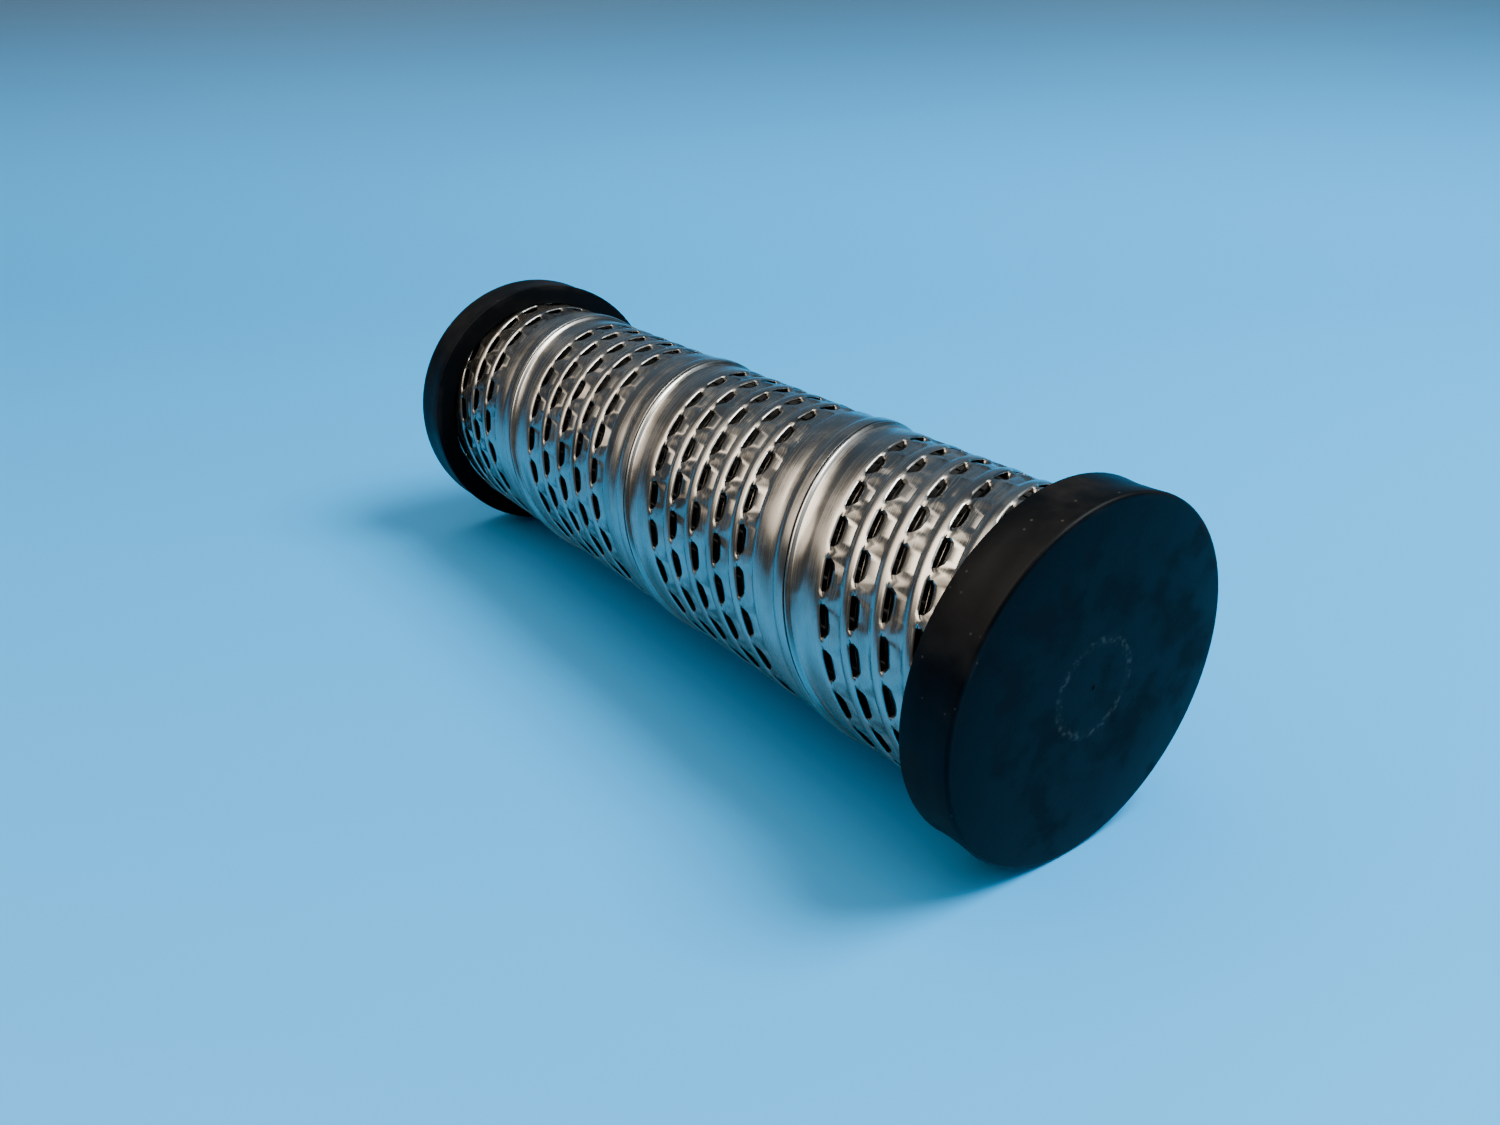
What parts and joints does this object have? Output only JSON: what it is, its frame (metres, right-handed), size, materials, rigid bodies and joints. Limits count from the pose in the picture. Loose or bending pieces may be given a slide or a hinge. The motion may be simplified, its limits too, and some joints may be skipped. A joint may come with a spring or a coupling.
{
  "type": "prefilter cartridge",
  "caption": "Cylindrical prefilter cartridge: spiral lock-seam tube with inward louvres, moulded end caps, pleated pack on a perforated core, outlet bore in one cap.",
  "frame": {"origin": "centre of the open cap's outer face, where the cartridge stands", "axes": "+Z along the cartridge's axis towards the closed cap; +X is free, since the cartridge is round"},
  "size_m": [0.06, 0.06, 0.18],
  "materials": {
    "louvred_steel": "bright rolled steel strip with fine drawing lines along it",
    "core_steel": "rolled and perforated, dull bright",
    "moulded_cap": "matt black moulding with dust and faint scuffs",
    "filter_sheet": "pleated filter sheet, dark with oil"
  },
  "bodies": {
    "root": {"louvred_tube": "louvred_steel", "closed_end_cap": "moulded_cap", "open_end_cap": "moulded_cap", "core_tube": "core_steel", "pleated_pack": "filter_sheet"}
  },
  "joints": []
}
